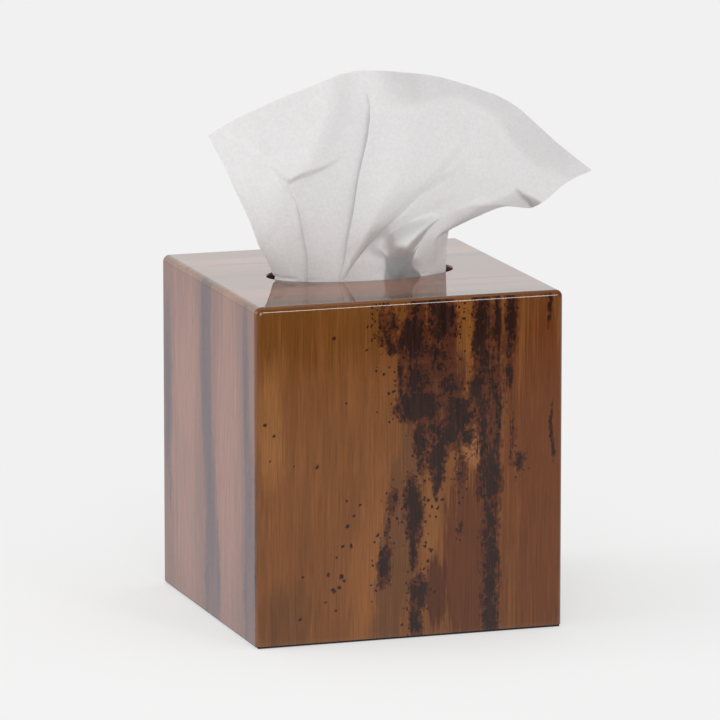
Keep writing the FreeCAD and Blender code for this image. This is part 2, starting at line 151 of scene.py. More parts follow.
tree = bpy.data.node_groups.new("interfolded_leaves", "GeometryNodeTree")
inputs = {
    "Side": ("NodeSocketFloat", LEAF_SIDE * MM),
    "Pitch": ("NodeSocketFloat", LEAF_PITCH * MM),
    "Leaves": ("NodeSocketInt", LEAVES),
    "Bend": ("NodeSocketFloat", LEAF_BEND * MM),
    "Floor": ("NodeSocketFloat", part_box("tissue_stack")[0][2]),
    "Slip": ("NodeSocketFloat", LEAF_SLIP * MM),
    "Paper": ("NodeSocketMaterial", tissue_paper),
}
keys = {}
for name, (kind, value) in inputs.items():
    keys[name] = tree.interface.new_socket(name, in_out="INPUT", socket_type=kind).identifier
tree.interface.new_socket("Geometry", in_out="OUTPUT", socket_type="NodeSocketGeometry")
given = node(tree, "NodeGroupInput").outputs

# A leaf is a thin block that gets thinner along its two folded edges.
spot = node(tree, "ShaderNodeSeparateXYZ", {0: node(tree, "GeometryNodeInputPosition").outputs[0]}).outputs
reach = node(tree, "ShaderNodeMath", {0: spot["Y"], 1: given["Side"]}, operation="DIVIDE").outputs[0]
reach = node(tree, "ShaderNodeMath", {0: reach, 1: 2.0}, operation="MULTIPLY").outputs[0]
steep = node(tree, "ShaderNodeMath", {0: reach, 1: EDGE_POWER}, operation="POWER").outputs[0]
thin = node(tree, "ShaderNodeMath", {0: steep, 1: -EDGE_THIN, 2: 1.0}, operation="MULTIPLY_ADD").outputs[0]
fold = node(tree, "ShaderNodeMath", {0: spot["Z"], 1: thin}, operation="MULTIPLY").outputs[0]
turned_in = node(tree, "ShaderNodeCombineXYZ", {"X": spot["X"], "Y": spot["Y"], "Z": fold}).outputs[0]
block = {"X": given["Side"], "Y": given["Side"], "Z": given["Pitch"]}
block = node(tree, "ShaderNodeCombineXYZ", block).outputs[0]
leaf = {"Size": block, "Vertices X": 9, "Vertices Y": 25, "Vertices Z": 3}
leaf = node(tree, "GeometryNodeMeshCube", leaf).outputs["Mesh"]
leaf = node(tree, "GeometryNodeSetPosition", {"Geometry": leaf, "Position": turned_in}).outputs[0]

# The leaves lie in a pile, each slipped a little to the side.
lowest = {0: given["Pitch"], 1: 0.5, 2: given["Floor"]}
lowest = node(tree, "ShaderNodeMath", lowest, operation="MULTIPLY_ADD").outputs[0]
line = {
    "Count": given["Leaves"],
    "Start Location": node(tree, "ShaderNodeCombineXYZ", {"Z": lowest}).outputs[0],
    "Offset": node(tree, "ShaderNodeCombineXYZ", {"Z": given["Pitch"]}).outputs[0],
}
line = node(tree, "GeometryNodeMeshLine", line).outputs[0]
low = node(tree, "ShaderNodeMath", {0: given["Slip"], 1: -1.0}, operation="MULTIPLY").outputs[0]
slip = {}
for axis, seed in [("X", 3), ("Y", 8)]:
    chance = {2: low, 3: given["Slip"], "Seed": seed}
    slip[axis] = node(tree, "FunctionNodeRandomValue", chance).outputs[1]
slip = node(tree, "ShaderNodeCombineXYZ", slip).outputs[0]
line = node(tree, "GeometryNodeSetPosition", {"Geometry": line, "Offset": slip}).outputs[0]
stack = node(tree, "GeometryNodeInstanceOnPoints", {"Points": line, "Instance": leaf}).outputs[0]
stack = node(tree, "GeometryNodeRealizeInstances", {0: stack}).outputs[0]

# The pile bends up along the slit, the more the higher a leaf lies in it.
height = {0: given["Leaves"], 1: given["Pitch"]}
height = node(tree, "ShaderNodeMath", height, operation="MULTIPLY").outputs[0]
level = node(tree, "ShaderNodeMath", {0: spot["Z"], 1: height}, operation="DIVIDE").outputs[0]
arch = node(tree, "ShaderNodeMath", {0: reach, 1: reach}, operation="MULTIPLY").outputs[0]
arch = node(tree, "ShaderNodeMath", {0: 1.0, 1: arch}, operation="SUBTRACT").outputs[0]
arch = node(tree, "ShaderNodeMath", {0: arch, 1: level}, operation="MULTIPLY").outputs[0]
arch = node(tree, "ShaderNodeMath", {0: arch, 1: given["Bend"]}, operation="MULTIPLY").outputs[0]
bent = node(tree, "ShaderNodeCombineXYZ", {"Z": arch}).outputs[0]
stack = node(tree, "GeometryNodeSetPosition", {"Geometry": stack, "Offset": bent}).outputs[0]
stack = node(tree, "GeometryNodeSetMaterial", {"Geometry": stack, "Material": given["Paper"]}).outputs[0]
node(tree, "NodeGroupOutput", {"Geometry": stack})


def new_piece(name, mesh):
    """A piece of the object with a mesh."""
    piece = bpy.data.objects.new(name, mesh)
    bpy.context.scene.collection.objects.link(piece)
    return piece


maker = new_piece("leaf_maker", bpy.data.meshes.new("leaf_maker"))
folding = maker.modifiers.new("folding", "NODES")
folding.node_group = tree
for name, (kind, value) in inputs.items():
    folding[keys[name]] = value
leaves_mesh = bpy.data.meshes.new_from_object(maker.evaluated_get(bpy.context.evaluated_depsgraph_get()))
bpy.data.objects.remove(maker)
leaves_mesh.name = "tissue_leaves"
tissue_leaves = new_piece("tissue_leaves", leaves_mesh)
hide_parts("tissue_stack")
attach(tissue_leaves, "contents")


# Next tissue: the sheet that the pulled one draws up behind it, gathered in the back of the film's slit.
# It rises in tight pleats from the bend of the stack and ends in a short tuft above the carton.
SHEET_THICKNESS = 0.2


def new_sheet(name, points):
    """A sheet of tissue through a grid of points in millimetres, two plies thick."""
    columns, rows = points.shape[:2]
    corner = (np.arange(columns - 1)[:, None] * rows + np.arange(rows - 1)).ravel()
    faces = np.stack([corner, corner + rows, corner + rows + 1, corner + 1], axis=1)
    mesh = bpy.data.meshes.new(name)
    mesh.from_pydata((points * MM).reshape(-1, 3).tolist(), [], faces.tolist())
    mesh.shade_smooth()
    border = np.ones((columns, rows), bool)
    border[1:-1, 1:-1] = False
    ends = np.zeros(2 * len(mesh.edges), int)
    mesh.edges.foreach_get("vertices", ends)
    mesh.edges.foreach_set("use_edge_sharp", border.ravel()[ends.reshape(-1, 2)].all(axis=1))
    mesh.materials.append(tissue_paper)
    piece = new_piece(name, mesh)
    ply = piece.modifiers.new("ply", "SOLIDIFY")
    ply.thickness = SHEET_THICKNESS * MM
    ply.offset = 0
    return piece


def smooth(low, high, value):
    """A soft step from 0 at low to 1 at high."""
    share = np.clip((value - low) / (high - low), 0, 1)
    return share * share * (3 - 2 * share)


def pleated(count, columns):
    """Soft, uneven pleats between -1 and 1 across so many columns, with so many folds."""
    share = np.linspace(0, 1, columns)
    turn = count * math.pi * (share + 0.012 * np.sin(19 * share + 1) + 0.007 * np.sin(43 * share))
    sharp = np.arcsin(np.sin(turn)) / math.pi * 2
    return (0.6 * sharp + 0.4 * np.sin(turn)) * (0.85 + 0.15 * np.sin(27 * share + 2))


# The film's slit and the tuft in it (mm). The tuft drops towards its ends and opens out near its crest.
SLIT_HALF = 44
SHEET_PLEATS = 34
TUFT_HALF, TUFT_COLUMNS, TUFT_ROWS = 36, 273, 46
TUFT_FOOT, TUFT_OPENS, TUFT_CREST, TUFT_DROP = 71.3, 125.0, 136.0, 4.86
TUFT_PLEAT, TUFT_BACK = 2.7, 3.0
run = np.linspace(-TUFT_HALF, TUFT_HALF, TUFT_COLUMNS)[:, None]
crest = TUFT_CREST - TUFT_DROP * (run / TUFT_HALF) ** 2
crest += 0.9 * np.sin(run / 5.1) + 0.6 * np.sin(run / 2.3 + 1)
rises = TUFT_FOOT + (crest - TUFT_FOOT) * np.linspace(0, 1, TUFT_ROWS)
slit = np.sqrt(1 - (run / SLIT_HALF) ** 2)
open_out = smooth(TUFT_OPENS, TUFT_CREST, rises)
set_back = 0.6 + TUFT_BACK * smooth(72, 100, rises)
folds = (TUFT_PLEAT + 0.6 * open_out) * pleated(SHEET_PLEATS, TUFT_COLUMNS)[:, None]
tuft = np.zeros(rises.shape + (3,))
tuft[..., 0] = run * (1 + 0.05 * open_out)
tuft[..., 1] = slit * (set_back + folds + 0.8 * open_out * np.sin(run / 9))
tuft[..., 2] = rises
next_sheet = new_sheet("next_sheet", tuft)
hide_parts("next_tissue")
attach(next_sheet, "contents")


# Felt strips: black needle felt, glued under the walls so that the cover doesn't scratch.
# Felt is matt and fuzzy: fibres about 0.4 mm apart in the bump, and a little sheen at its edges.
felt, tree, place = start_material("black_needle_felt")
fuzz = node(tree, "ShaderNodeTexNoise", {"Vector": place, "Scale": 1 / 0.4, "Detail": 4, "Roughness": 0.8})
shade = node(tree, "ShaderNodeValToRGB", {0: fuzz.outputs[0]}, [(0.3, "#141313"), (0.75, "#2b2928")])
relief = node(tree, "ShaderNodeBump", {"Strength": 0.8, "Distance": 0.3 * MM, "Height": fuzz.outputs[0]})
wool = {"Base Color": shade.outputs[0], "Roughness": 0.95, "Sheen Weight": 0.3, "Sheen Roughness": 0.5}
wool["Normal"] = relief.outputs[0]
end_material(tree, node(tree, "ShaderNodeBsdfPrincipled", wool))
dress(felt, *[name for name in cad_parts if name.startswith("felt_strip")])


# Carcass: four mitred fibreboard walls under a top board, with a glue block in each inner corner.
# The board is stained dark brown, so that no pale edge shows inside the slot, and sealed matt.
stained, tree, place = start_material("stained_fibreboard")
fibre = {"Vector": place, "Scale": 1 / 1.5, "Detail": 5, "Roughness": 0.75}
fibre = node(tree, "ShaderNodeTexNoise", fibre)
shade = node(tree, "ShaderNodeValToRGB", {0: fibre.outputs[0]}, [(0.3, "#2c1a11"), (0.72, "#4a3020")])
relief = node(tree, "ShaderNodeBump", {"Strength": 0.4, "Distance": 0.2 * MM, "Height": fibre.outputs[0]})
sealed = {"Base Color": shade.outputs[0], "Roughness": 0.55, "Normal": relief.outputs[0]}
end_material(tree, node(tree, "ShaderNodeBsdfPrincipled", sealed))
inside = [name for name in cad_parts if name.endswith("_panel") or name.startswith("corner_block")]
dress(stained, *inside)


# Veneers: sheets of bark peeled flat, glued over the walls and the top, and lacquered to a high gloss.
# The bark is golden brown with a fine straight grain, and torn dark stains and specks run along it.
def reach_from(tree, sheet, spot, wide, long, tilt):
    """The square of how far points lie from a tilted oval's middle, where 1 is its outline."""
    oval = {"Vector": sheet, "Location": spot, "Scale": (wide, long, 1)}
    oval["Rotation"] = (0, 0, math.radians(tilt))
    away = node(tree, "ShaderNodeMapping", oval, vector_type="TEXTURE").outputs[0]
    return node(tree, "ShaderNodeVectorMath", {0: away, 1: away}, operation="DOT_PRODUCT").outputs["Value"]


# Noise that marks the bark: how wide and how long its marks are in mm, its detail and its roughness.
BARK_MARKS = {
    "cloud": (20, 40, 5, 0.6),
    "band": (4, 90, 4, 0.6),
    "grain": (0.6, 24, 3, 0.65),
    "drift": (9, 14, 3, 0.55),
    "ragged": (1.6, 2.4, 3, 0.6),
    "torn": (4.2, 6.5, 8, 0.77),
    "speckle": (1.5, 2.2, 2, 0.5),
    "rust": (3.2, 4.8, 8, 0.75),
    "streak": (1.0, 22, 5, 0.7),
    "peel": (14, 14, 2, 0.5),
}

# How far the sheet is shaken (mm), and how much of which noise frays the tints and makes the tone.
SHAKES = {"drift": 5.0, "ragged": 2.0}
FRAYS = {"band": 2.6, "streak": 1.6}
TONES = {"cloud": 0.4, "band": 0.1, "grain": 1.1}
GROUND = [(0.3, "#6d421f"), (0.7, "#784925")]
DARK_HEART = [(0.35, "#1c0e0b"), (0.7, "#38211a")]
HAIR, RUST = "#3f2312", "#4a2415"

# How rough the edges of stains and streaks are, the value far from any of them, and the fine specks:
# the cells that they lie in (mm), their largest size and how sharp they are.
STAIN_EDGES = {"torn": 3.6, "speckle": 1.8}
STREAK_EDGES = {"torn": 2.4, "streak": 3.4, "speckle": 1.8}
FAR_OFF = -4.0
CELL_WIDE, CELL_LONG = 2.0, 2.6
LARGEST_SPECK, SPECK_SHARPNESS = 0.28, 6.0


# Bark under clear gloss lacquer: the grain lies still under a smooth, wet-looking coat that mirrors the room.
def lacquered_bark(name, across, along, shift, tints, stains, streaks, specks):
    """Bark with its grain along one axis. Tints, stains and streaks are ovals on it, and specks are dots."""
    material, tree, place = start_material(name)
    axes = node(tree, "ShaderNodeSeparateXYZ", {0: place})
    sheet = {"X": axes.outputs[across], "Y": axes.outputs[along], "Z": shift}
    sheet = node(tree, "ShaderNodeCombineXYZ", sheet).outputs[0]
    marks = {}
    for mark, (wide, long, detail, rough) in BARK_MARKS.items():
        drawn = {0: sheet, 1: (1 / wide, 1 / long, 1)}
        drawn = node(tree, "ShaderNodeVectorMath", drawn, operation="MULTIPLY").outputs[0]
        drawn = {"Vector": drawn, "Scale": 1.0, "Detail": detail, "Roughness": rough}
        marks[mark] = node(tree, "ShaderNodeTexNoise", drawn).outputs

    # The sheet is shaken, broadly and then finely, so that no mark on it is a plain oval.
    drift = sheet
    for mark, reach in SHAKES.items():
        shaken = {0: marks[mark]["Color"], 1: (0.5, 0.5, 0.5)}
        shaken = node(tree, "ShaderNodeVectorMath", shaken, operation="SUBTRACT").outputs[0]
        drift = {0: shaken, 1: (reach, reach, 0), 2: drift}
        drift = node(tree, "ShaderNodeVectorMath", drift, operation="MULTIPLY_ADD").outputs[0]

    # The ground is golden brown, tinted in zones that fray along the grain. The grain makes it lighter and
    # darker, with a few dark hairs. Noise is 0.5 on average, so the fray is then 0 and the tone is 1.
    tint = node(tree, "ShaderNodeValToRGB", {0: marks["band"]["Fac"]}, GROUND).outputs[0]
    fray = -sum(FRAYS.values()) / 2
    for mark, weight in FRAYS.items():
        fray = {0: marks[mark]["Fac"], 1: weight, 2: fray}
        fray = node(tree, "ShaderNodeMath", fray, operation="MULTIPLY_ADD").outputs[0]
    for x, y, wide, long, tilt, soft, code, strength in tints:
        reach = reach_from(tree, drift, (x, y, shift), wide, long, tilt)
        reach = node(tree, "ShaderNodeMath", {0: reach, 1: fray}, operation="ADD").outputs[0]
        share = {0: reach, 1: 1.0, 2: 1.0 - soft, 3: 0.0, 4: strength}
        share = node(tree, "ShaderNodeMapRange", share).outputs[0]
        tint = node(tree, "ShaderNodeMix", {0: share, 6: tint, 7: colour(code)}, data_type="RGBA").outputs[2]
    tone = 1 - sum(TONES.values()) / 2
    for mark, weight in TONES.items():
        tone = {0: marks[mark]["Fac"], 1: weight, 2: tone}
        tone = node(tree, "ShaderNodeMath", tone, operation="MULTIPLY_ADD").outputs[0]
    tint = node(tree, "ShaderNodeVectorMath", {0: tint, "Scale": tone}, operation="SCALE").outputs[0]
    hair = {0: marks["streak"]["Fac"], 1: 0.34, 2: 0.27, 3: 0.0, 4: 0.3}
    hair = node(tree, "ShaderNodeMapRange", hair).outputs[0]
    tint = node(tree, "ShaderNodeMix", {0: hair, 6: tint, 7: colour(HAIR)}, data_type="RGBA").outputs[2]

    # Stains and streaks are fields that rise above 0 inside their ovals, which run together.
    fields = []
    for ovals in (stains, streaks):
        field = FAR_OFF
        for x, y, wide, long, tilt, weight in ovals:
            reach = reach_from(tree, drift, (x, y, shift), wide, long, tilt)
            inside = {0: reach, 1: -1.0, 2: weight}
            inside = node(tree, "ShaderNodeMath", inside, operation="MULTIPLY_ADD").outputs[0]
            field = {0: field, 1: inside, 2: 0.1}
            field = node(tree, "ShaderNodeMath", field, operation="SMOOTH_MAX").outputs[0]
        fields.append(field)
    crowd = {0: fields[0], 1: FAR_OFF, 2: -0.5, 3: 0.0, 4: 0.5}
    crowd = node(tree, "ShaderNodeMapRange", crowd).outputs[0]

    # Stains are torn at their edges, streaks are drawn out along the grain, and the larger specks join them.
    edge = -1.0
    for field, roughs in zip(fields, (STAIN_EDGES, STREAK_EDGES)):
        for mark, rough in roughs.items():
            torn = {0: marks[mark]["Fac"], 1: rough, 2: -rough / 2}
            torn = node(tree, "ShaderNodeMath", torn, operation="MULTIPLY_ADD").outputs[0]
            field = node(tree, "ShaderNodeMath", {0: field, 1: torn}, operation="ADD").outputs[0]
        edge = node(tree, "ShaderNodeMath", {0: edge, 1: field}, operation="MAXIMUM").outputs[0]
    for x, y, size in specks:
        away = {0: drift, 1: (x, y, shift)}
        away = node(tree, "ShaderNodeVectorMath", away, operation="DISTANCE").outputs["Value"]
        away = {0: away, 1: size * 1.1, 2: size * 0.4, 3: -0.3, 4: 1.0}
        away = node(tree, "ShaderNodeMapRange", away).outputs[0]
        edge = node(tree, "ShaderNodeMath", {0: edge, 1: away}, operation="MAXIMUM").outputs[0]

    # Fine specks crowd round the stains: near them more of the cells hold one, and a larger one.
    cells = {0: drift, 1: (1 / CELL_WIDE, 1 / CELL_LONG, 1)}
    cells = node(tree, "ShaderNodeVectorMath", cells, operation="MULTIPLY").outputs[0]
    cells = {"Vector": cells, "Scale": 1.0}
    cells = node(tree, "ShaderNodeTexVoronoi", cells, voronoi_dimensions="2D").outputs
    chance = node(tree, "ShaderNodeSeparateXYZ", {0: cells["Color"]}).outputs["X"]
    size = node(tree, "ShaderNodeMath", {0: crowd, 1: chance}, operation="SUBTRACT").outputs[0]
    size = node(tree, "ShaderNodeMath", {0: size, 1: LARGEST_SPECK}, operation="MINIMUM").outputs[0]
    dots = node(tree, "ShaderNodeMath", {0: size, 1: cells["Distance"]}, operation="SUBTRACT").outputs[0]
    dots = node(tree, "ShaderNodeMath", {0: dots, 1: SPECK_SHARPNESS}, operation="MULTIPLY").outputs[0]
    edge = node(tree, "ShaderNodeMath", {0: edge, 1: dots}, operation="MAXIMUM").outputs[0]

    # All of them fade through red-brown to a dark heart, which rust eats into.
    fringe = node(tree, "ShaderNodeMapRange", {0: edge, 1: -0.14, 2: 0.08, 3: 0.0, 4: 0.8}).outputs[0]
    rust = {0: fringe, 6: tint, 7: colour(RUST)}
    rust = node(tree, "ShaderNodeMix", rust, data_type="RGBA").outputs[2]
    dark = node(tree, "ShaderNodeValToRGB", {0: marks["streak"]["Fac"]}, DARK_HEART).outputs[0]
    heart = {0: marks["rust"]["Fac"], 1: 0.38, 2: 0.62, 3: 0.7, 4: 0.05}
    heart = node(tree, "ShaderNodeMapRange", heart).outputs[0]
    heart = node(tree, "ShaderNodeMath", {0: edge, 1: heart}, operation="SUBTRACT").outputs[0]
    heart = node(tree, "ShaderNodeMapRange", {0: heart, 1: 0.0, 2: 0.25}).outputs[0]
    tint = node(tree, "ShaderNodeMix", {0: heart, 6: rust, 7: dark}, data_type="RGBA").outputs[2]

    # The bark has the grain in its relief, and the coat over it only a faint, broad ripple.
    relief = {"Strength": 0.1, "Distance": 0.1 * MM, "Height": marks["grain"]["Fac"]}
    peel = {"Strength": 0.05, "Distance": 0.3 * MM, "Height": marks["peel"]["Fac"]}
    lacquer = {
        "Base Color": tint,
        "Roughness": 0.5,
        "Specular IOR Level": 0.0,
        "Normal": node(tree, "ShaderNodeBump", relief).outputs[0],
        "Coat Weight": 1.0,
        "Coat Roughness": 0.02,
        "Coat IOR": 1.55,
        "Coat Normal": node(tree, "ShaderNodeBump", peel).outputs[0],
    }
    end_material(tree, node(tree, "ShaderNodeBsdfPrincipled", lacquer))
    return material


# Each oval has its middle across and along the grain, its half width and half length (mm) and its tilt.
# A tint goes on with its softness, colour and strength, and a stain or streak with how dense it is.
# A speck has its middle and its size.

# Front: a long torn stain down the right of the middle, streaks beside it, and a reddish strip between.
FRONT_TINTS = [
    (-40, 148, 70, 30, 0, 0.9, "#643d14", 0.65),
    (60, 75, 22, 110, 0, 0.6, "#64361b", 0.85),
    (-20, 34, 9, 58, -8, 0.9, "#85532b", 0.8),
    (-5.3, 44, 8.4, 58, -7.6, 0.1, "#5f3d25", 0.8),
    (9.5, 52, 5, 20, 0, 0.6, "#80522b", 0.8),
    (25, 33, 10.5, 48, 0, 0.25, "#5a301a", 0.9),
    (25, 134, 5, 18, 0, 0.6, "#7c4c22", 0.8),
    (10, 118, 16, 34, 0, 0.4, "#48261a", 0.8),
    (37, 120, 9, 40, 0, 0.5, "#4d2c19", 0.6),
    (-63, 95, 7, 34, 0, 0.8, "#8c5c30", 0.7),
    (27.5, 81, 4.5, 9, 0, 0.5, "#94623c", 0.65),
    (12, 21, 5.0, 18, 0, 0.4, "#4c2617", 0.85),
    (-57, 13, 15, 18, 0, 0.8, "#5a381d", 0.6),
]
FRONT_STAINS = [
    (0.8, 132, 6, 10.5, 0, 1.3),
    (2, 145, 5, 5, 0, 0.7),
    (14, 139, 8, 11, 0, 1.0),
    (11, 147, 4, 4.5, 0, 1.0),
    (18, 141, 3.5, 6, 0, 1.0),
    (13, 123, 9, 11, 0, 0.65),
    (3.2, 102.6, 9.5, 7, 0, 1.4),
    (2.5, 114, 8, 8, 0, 1.0),
    (18, 110.5, 6.5, 6.5, 0, 0.85),
    (22, 98.5, 7.5, 9.5, 20, 1.1),
    (17, 90, 10, 7.5, -10, 1.1),
    (12.1, 79, 4.4, 10, 0, 1.2),
    (11.6, 69, 2.4, 8, 0, 1.0),
    (4.5, 85, 3.6, 13, 0, 1.0),
    (30, 108, 5, 8, 0, 0.9),
    (26, 87.5, 4, 4.5, 0, 0.9),
    (1.2, 57, 4.2, 15, 4, 1.2),
    (1, 39, 2.4, 10, 0, 1.0),
    (-12.1, 32.6, 3.6, 10, -8, 1.1),
    (-10.2, 50, 1.6, 8, -5, 0.45),
    (-8.3, 61, 3.4, 8, 0, 0.55),
    (3.5, 19.6, 4.8, 9, 0, 1.0),
    (2, 7, 3.6, 9, 0, 1.0),
    (22.9, 73.5, 4.5, 12, 0, 0.4),
    (21.8, 48, 1.8, 4.5, -15, 0.6),
    (50.4, 75.6, 2.8, 6, 0, 0.65),
    (-9.9, 137, 7, 14, 0, 0.55),
    (-9, 129.5, 4, 5, 0, 0.8),
]
FRONT_STREAKS = [
    (-3.7, 130, 2, 10, 0, 0.8),
    (-5.4, 114, 1.3, 11, 0, 1.0),
    (32, 133, 4.4, 30, 0, 1.05),
    (39.6, 140, 1.8, 28, 0, 1.0),
    (33, 90, 2.0, 24, 0, 1.0),
    (39.2, 95, 2.2, 34, 0, 0.8),
    (45.8, 140, 3, 22, 0, 1.1),
    (45, 114, 2.2, 7, 0, 0.9),
    (36.2, 68.5, 5.8, 18, 0, 1.05),
    (36.3, 22, 4.6, 62, 0, 0.95),
    (35, 112, 10, 50, 0, 0.5),
    (64.9, 88.5, 1.2, 13, 0, 0.9),
    (63.3, 142, 1.3, 10, 0, 0.8),
    (46.5, 84, 2.2, 18, 0, 0.3),
]
FRONT_SPECKS = [
    (-66.5, 98.2, 0.9), (-61.7, 93.2, 0.85), (-63.8, 82.5, 0.6), (-53.1, 79.2, 0.6),
    (-42.3, 79.5, 0.8), (-29.4, 105.4, 0.7), (-35.3, 134.2, 1), (-29.4, 62.6, 0.85),
    (-26.1, 56.2, 0.6), (-23.4, 60.6, 0.7), (-28.8, 51.7, 1), (-31, 42.6, 0.75),
    (-27.2, 41.8, 1.2), (-34.2, 38.2, 0.7), (-36.9, 30.6, 1), (-32, 29.8, 1.4),
    (-30.4, 27.9, 0.85), (-33.1, 25.2, 1), (-35.8, 23.4, 1.35), (-34.2, 15, 0.75),
    (-14.8, 47.1, 0.8), (-16.4, 44.7, 0.6), (-10, 53.5, 0.95), (-49.3, 31, 0.7),
    (-50.4, 12, 1), (-39.1, 18.4, 0.7), (8.4, 61, 0.9), (12.7, 58.1, 0.75),
    (14.8, 60.6, 0.8), (9.4, 38.8, 1.3), (6.2, 41.1, 0.65), (7.8, 33.7, 1),
    (11.6, 53.6, 0.7),
]

# The other walls and the top come from the same bark: soft dark bands with wisps, and smaller torn stains.
LEFT_TINTS = [
    (34, 75, 24, 110, 0, 0.8, "#956345", 0.75),
    (-28, 75, 22, 110, 0, 0.8, "#956345", 0.75),
    (61, 92, 7, 48, 0, 0.6, "#2c1812", 0.6),
    (2.6, 118, 9.5, 60, 0, 0.5, "#24130f", 0.75),
    (-1, 65, 10.5, 45, -3, 0.6, "#24130f", 0.65),
    (-6, 22, 13, 40, -4, 0.7, "#2c1812", 0.55),
    (-55, 115, 5.5, 50, 0, 0.6, "#2c1812", 0.65),
    (-60, 40, 11, 60, 0, 0.7, "#2c1812", 0.5),
]
LEFT_STREAKS = [
    (61, 88, 3.5, 36, 0, 0.8),
    (58, 50, 3, 20, 0, 0.3),
    (5, 120, 5, 55, 0, 0.7),
    (-2, 60, 5, 50, -3, 0.7),
    (2, 20, 4, 40, 0, 0.5),
    (-14, 22, 3, 30, -3, 0.5),
    (-55, 105, 3, 40, 0, 0.8),
    (-60, 60, 5, 40, 0, 0.5),
    (-55, 22, 4, 40, 0, 0.6),
    (-66, 40, 2.5, 50, 0, 0.4),
]
RIGHT_TINTS = [
    (-20, 70, 22, 110, 0, 0.8, "#85532d", 0.6),
    (40, 60, 18, 90, 0, 0.7, "#64381c", 0.6),
    (13, 92, 13, 42, 0, 0.6, "#58301b", 0.7),
    (-46, 80, 6, 80, 2, 0.7, "#4f3222", 0.7),
]
RIGHT_STAINS = [
    (12, 112, 6, 14, 0, 0.9),
    (19, 98, 5, 10, 10, 0.8),
    (8, 92, 4, 9, 0, 0.8),
    (14, 74, 4, 12, -4, 0.9),
    (9, 56, 2.4, 9, 0, 0.8),
    (22, 62, 3, 7, 0, 0.4),
    (46, 30, 2, 6, 0, 0.5),
]
RIGHT_STREAKS = [
    (-46, 90, 4, 70, 2, 0.2),
    (-41, 120, 1.4, 40, 0, 0.6),
    (32, 105, 1.6, 40, 0, 0.7),
    (50, 90, 3, 70, 0, 0.1),
    (30, 40, 2, 30, 0, 0.3),
]
RIGHT_SPECKS = [
    (-28, 52, 0.9), (-22, 36, 1.1), (-31, 104, 0.8), (-26, 47, 0.7), (-36, 30, 0.8), (-30, 40, 0.7),
    (-24, 30, 0.9), (-33, 24, 0.7), (2, 40, 0.8), (16, 44, 0.7), (20, 38, 0.9), (-12, 84, 0.7),
]
BACK_TINTS = [
    (30, 60, 20, 90, -5, 0.7, "#8a572e", 0.6),
    (-40, 90, 18, 90, 0, 0.7, "#63371b", 0.7),
    (-26, 90, 14, 42, 0, 0.6, "#562d19", 0.7),
    (47, 90, 6, 70, 0, 0.7, "#553522", 0.6),
]
BACK_STAINS = [
    (-28, 108, 7, 16, 0, 0.9),
    (-20, 92, 5, 12, 8, 0.9),
    (-34, 86, 4, 10, 0, 0.8),
    (-25, 70, 4, 12, 4, 0.9),
    (-29, 54, 2.2, 9, 0, 0.8),
    (-18, 120, 3, 8, 0, 0.7),
    (18, 36, 4, 12, 0, 0.8),
    (24, 24, 3, 8, 0, 0.4),
]
BACK_STREAKS = [
    (-8, 80, 2, 80, 0, 0.4),
    (-12, 110, 1.5, 40, 0, 0.7),
    (47, 100, 4, 60, 0, 0.2),
    (-58, 60, 3, 60, 0, 0.2),
    (-50, 110, 1.4, 30, 0, 0.6),
]
BACK_SPECKS = [
    (8, 60, 0.9), (14, 70, 0.9), (24, 48, 0.8), (19, 57, 0.7), (4, 44, 0.8), (10, 50, 0.7),
    (28, 58, 0.9), (16, 78, 0.7), (34, 40, 0.8), (-4, 30, 0.7), (2, 22, 0.9),
]
TOP_TINTS = [
    (40, 0, 24, 90, 0, 0.8, "#a2684a", 0.8),
    (-34, 0, 22, 90, 0, 0.8, "#9a5d3e", 0.8),
    (-61, 0, 4.5, 80, 0, 0.6, "#2c1812", 0.75),
    (-44, 34, 4, 40, 0, 0.7, "#3a2018", 0.6),
    (-24, -40, 4, 34, 0, 0.7, "#3a2018", 0.6),
    (52, 10, 5, 80, 0, 0.7, "#33201c", 0.75),
    (25, 50, 5, 40, 0, 0.7, "#33201c", 0.7),
    (8, -60, 5, 26, 0, 0.7, "#3a2018", 0.6),
]
TOP_STREAKS = [
    (-63, 10, 3, 60, 0, 0.7),
    (-48, -30, 2, 40, 0, 0.5),
    (-30, 48, 2.5, 40, 0, 0.6),
    (34, -50, 3, 40, 0, 0.4),
    (28, 52, 3, 30, 0, 0.5),
    (55, 20, 3, 60, 0, 0.6),
]

# The axes across and along each sheet's grain, and a shift that gives each its own figure.
BARK_SHEETS = {
    "front": ("X", "Z", 0.0, FRONT_TINTS, FRONT_STAINS, FRONT_STREAKS, FRONT_SPECKS),
    "left": ("Y", "Z", 40.0, LEFT_TINTS, [], LEFT_STREAKS, []),
    "right": ("Y", "Z", 80.0, RIGHT_TINTS, RIGHT_STAINS, RIGHT_STREAKS, RIGHT_SPECKS),
    "back": ("X", "Z", 120.0, BACK_TINTS, BACK_STAINS, BACK_STREAKS, BACK_SPECKS),
    "top": ("Y", "X", 160.0, TOP_TINTS, [], TOP_STREAKS, []),
}
for side, sheet in BARK_SHEETS.items():
    dress(lacquered_bark(f"lacquered_bark_{side}", *sheet), f"{side}_veneer")


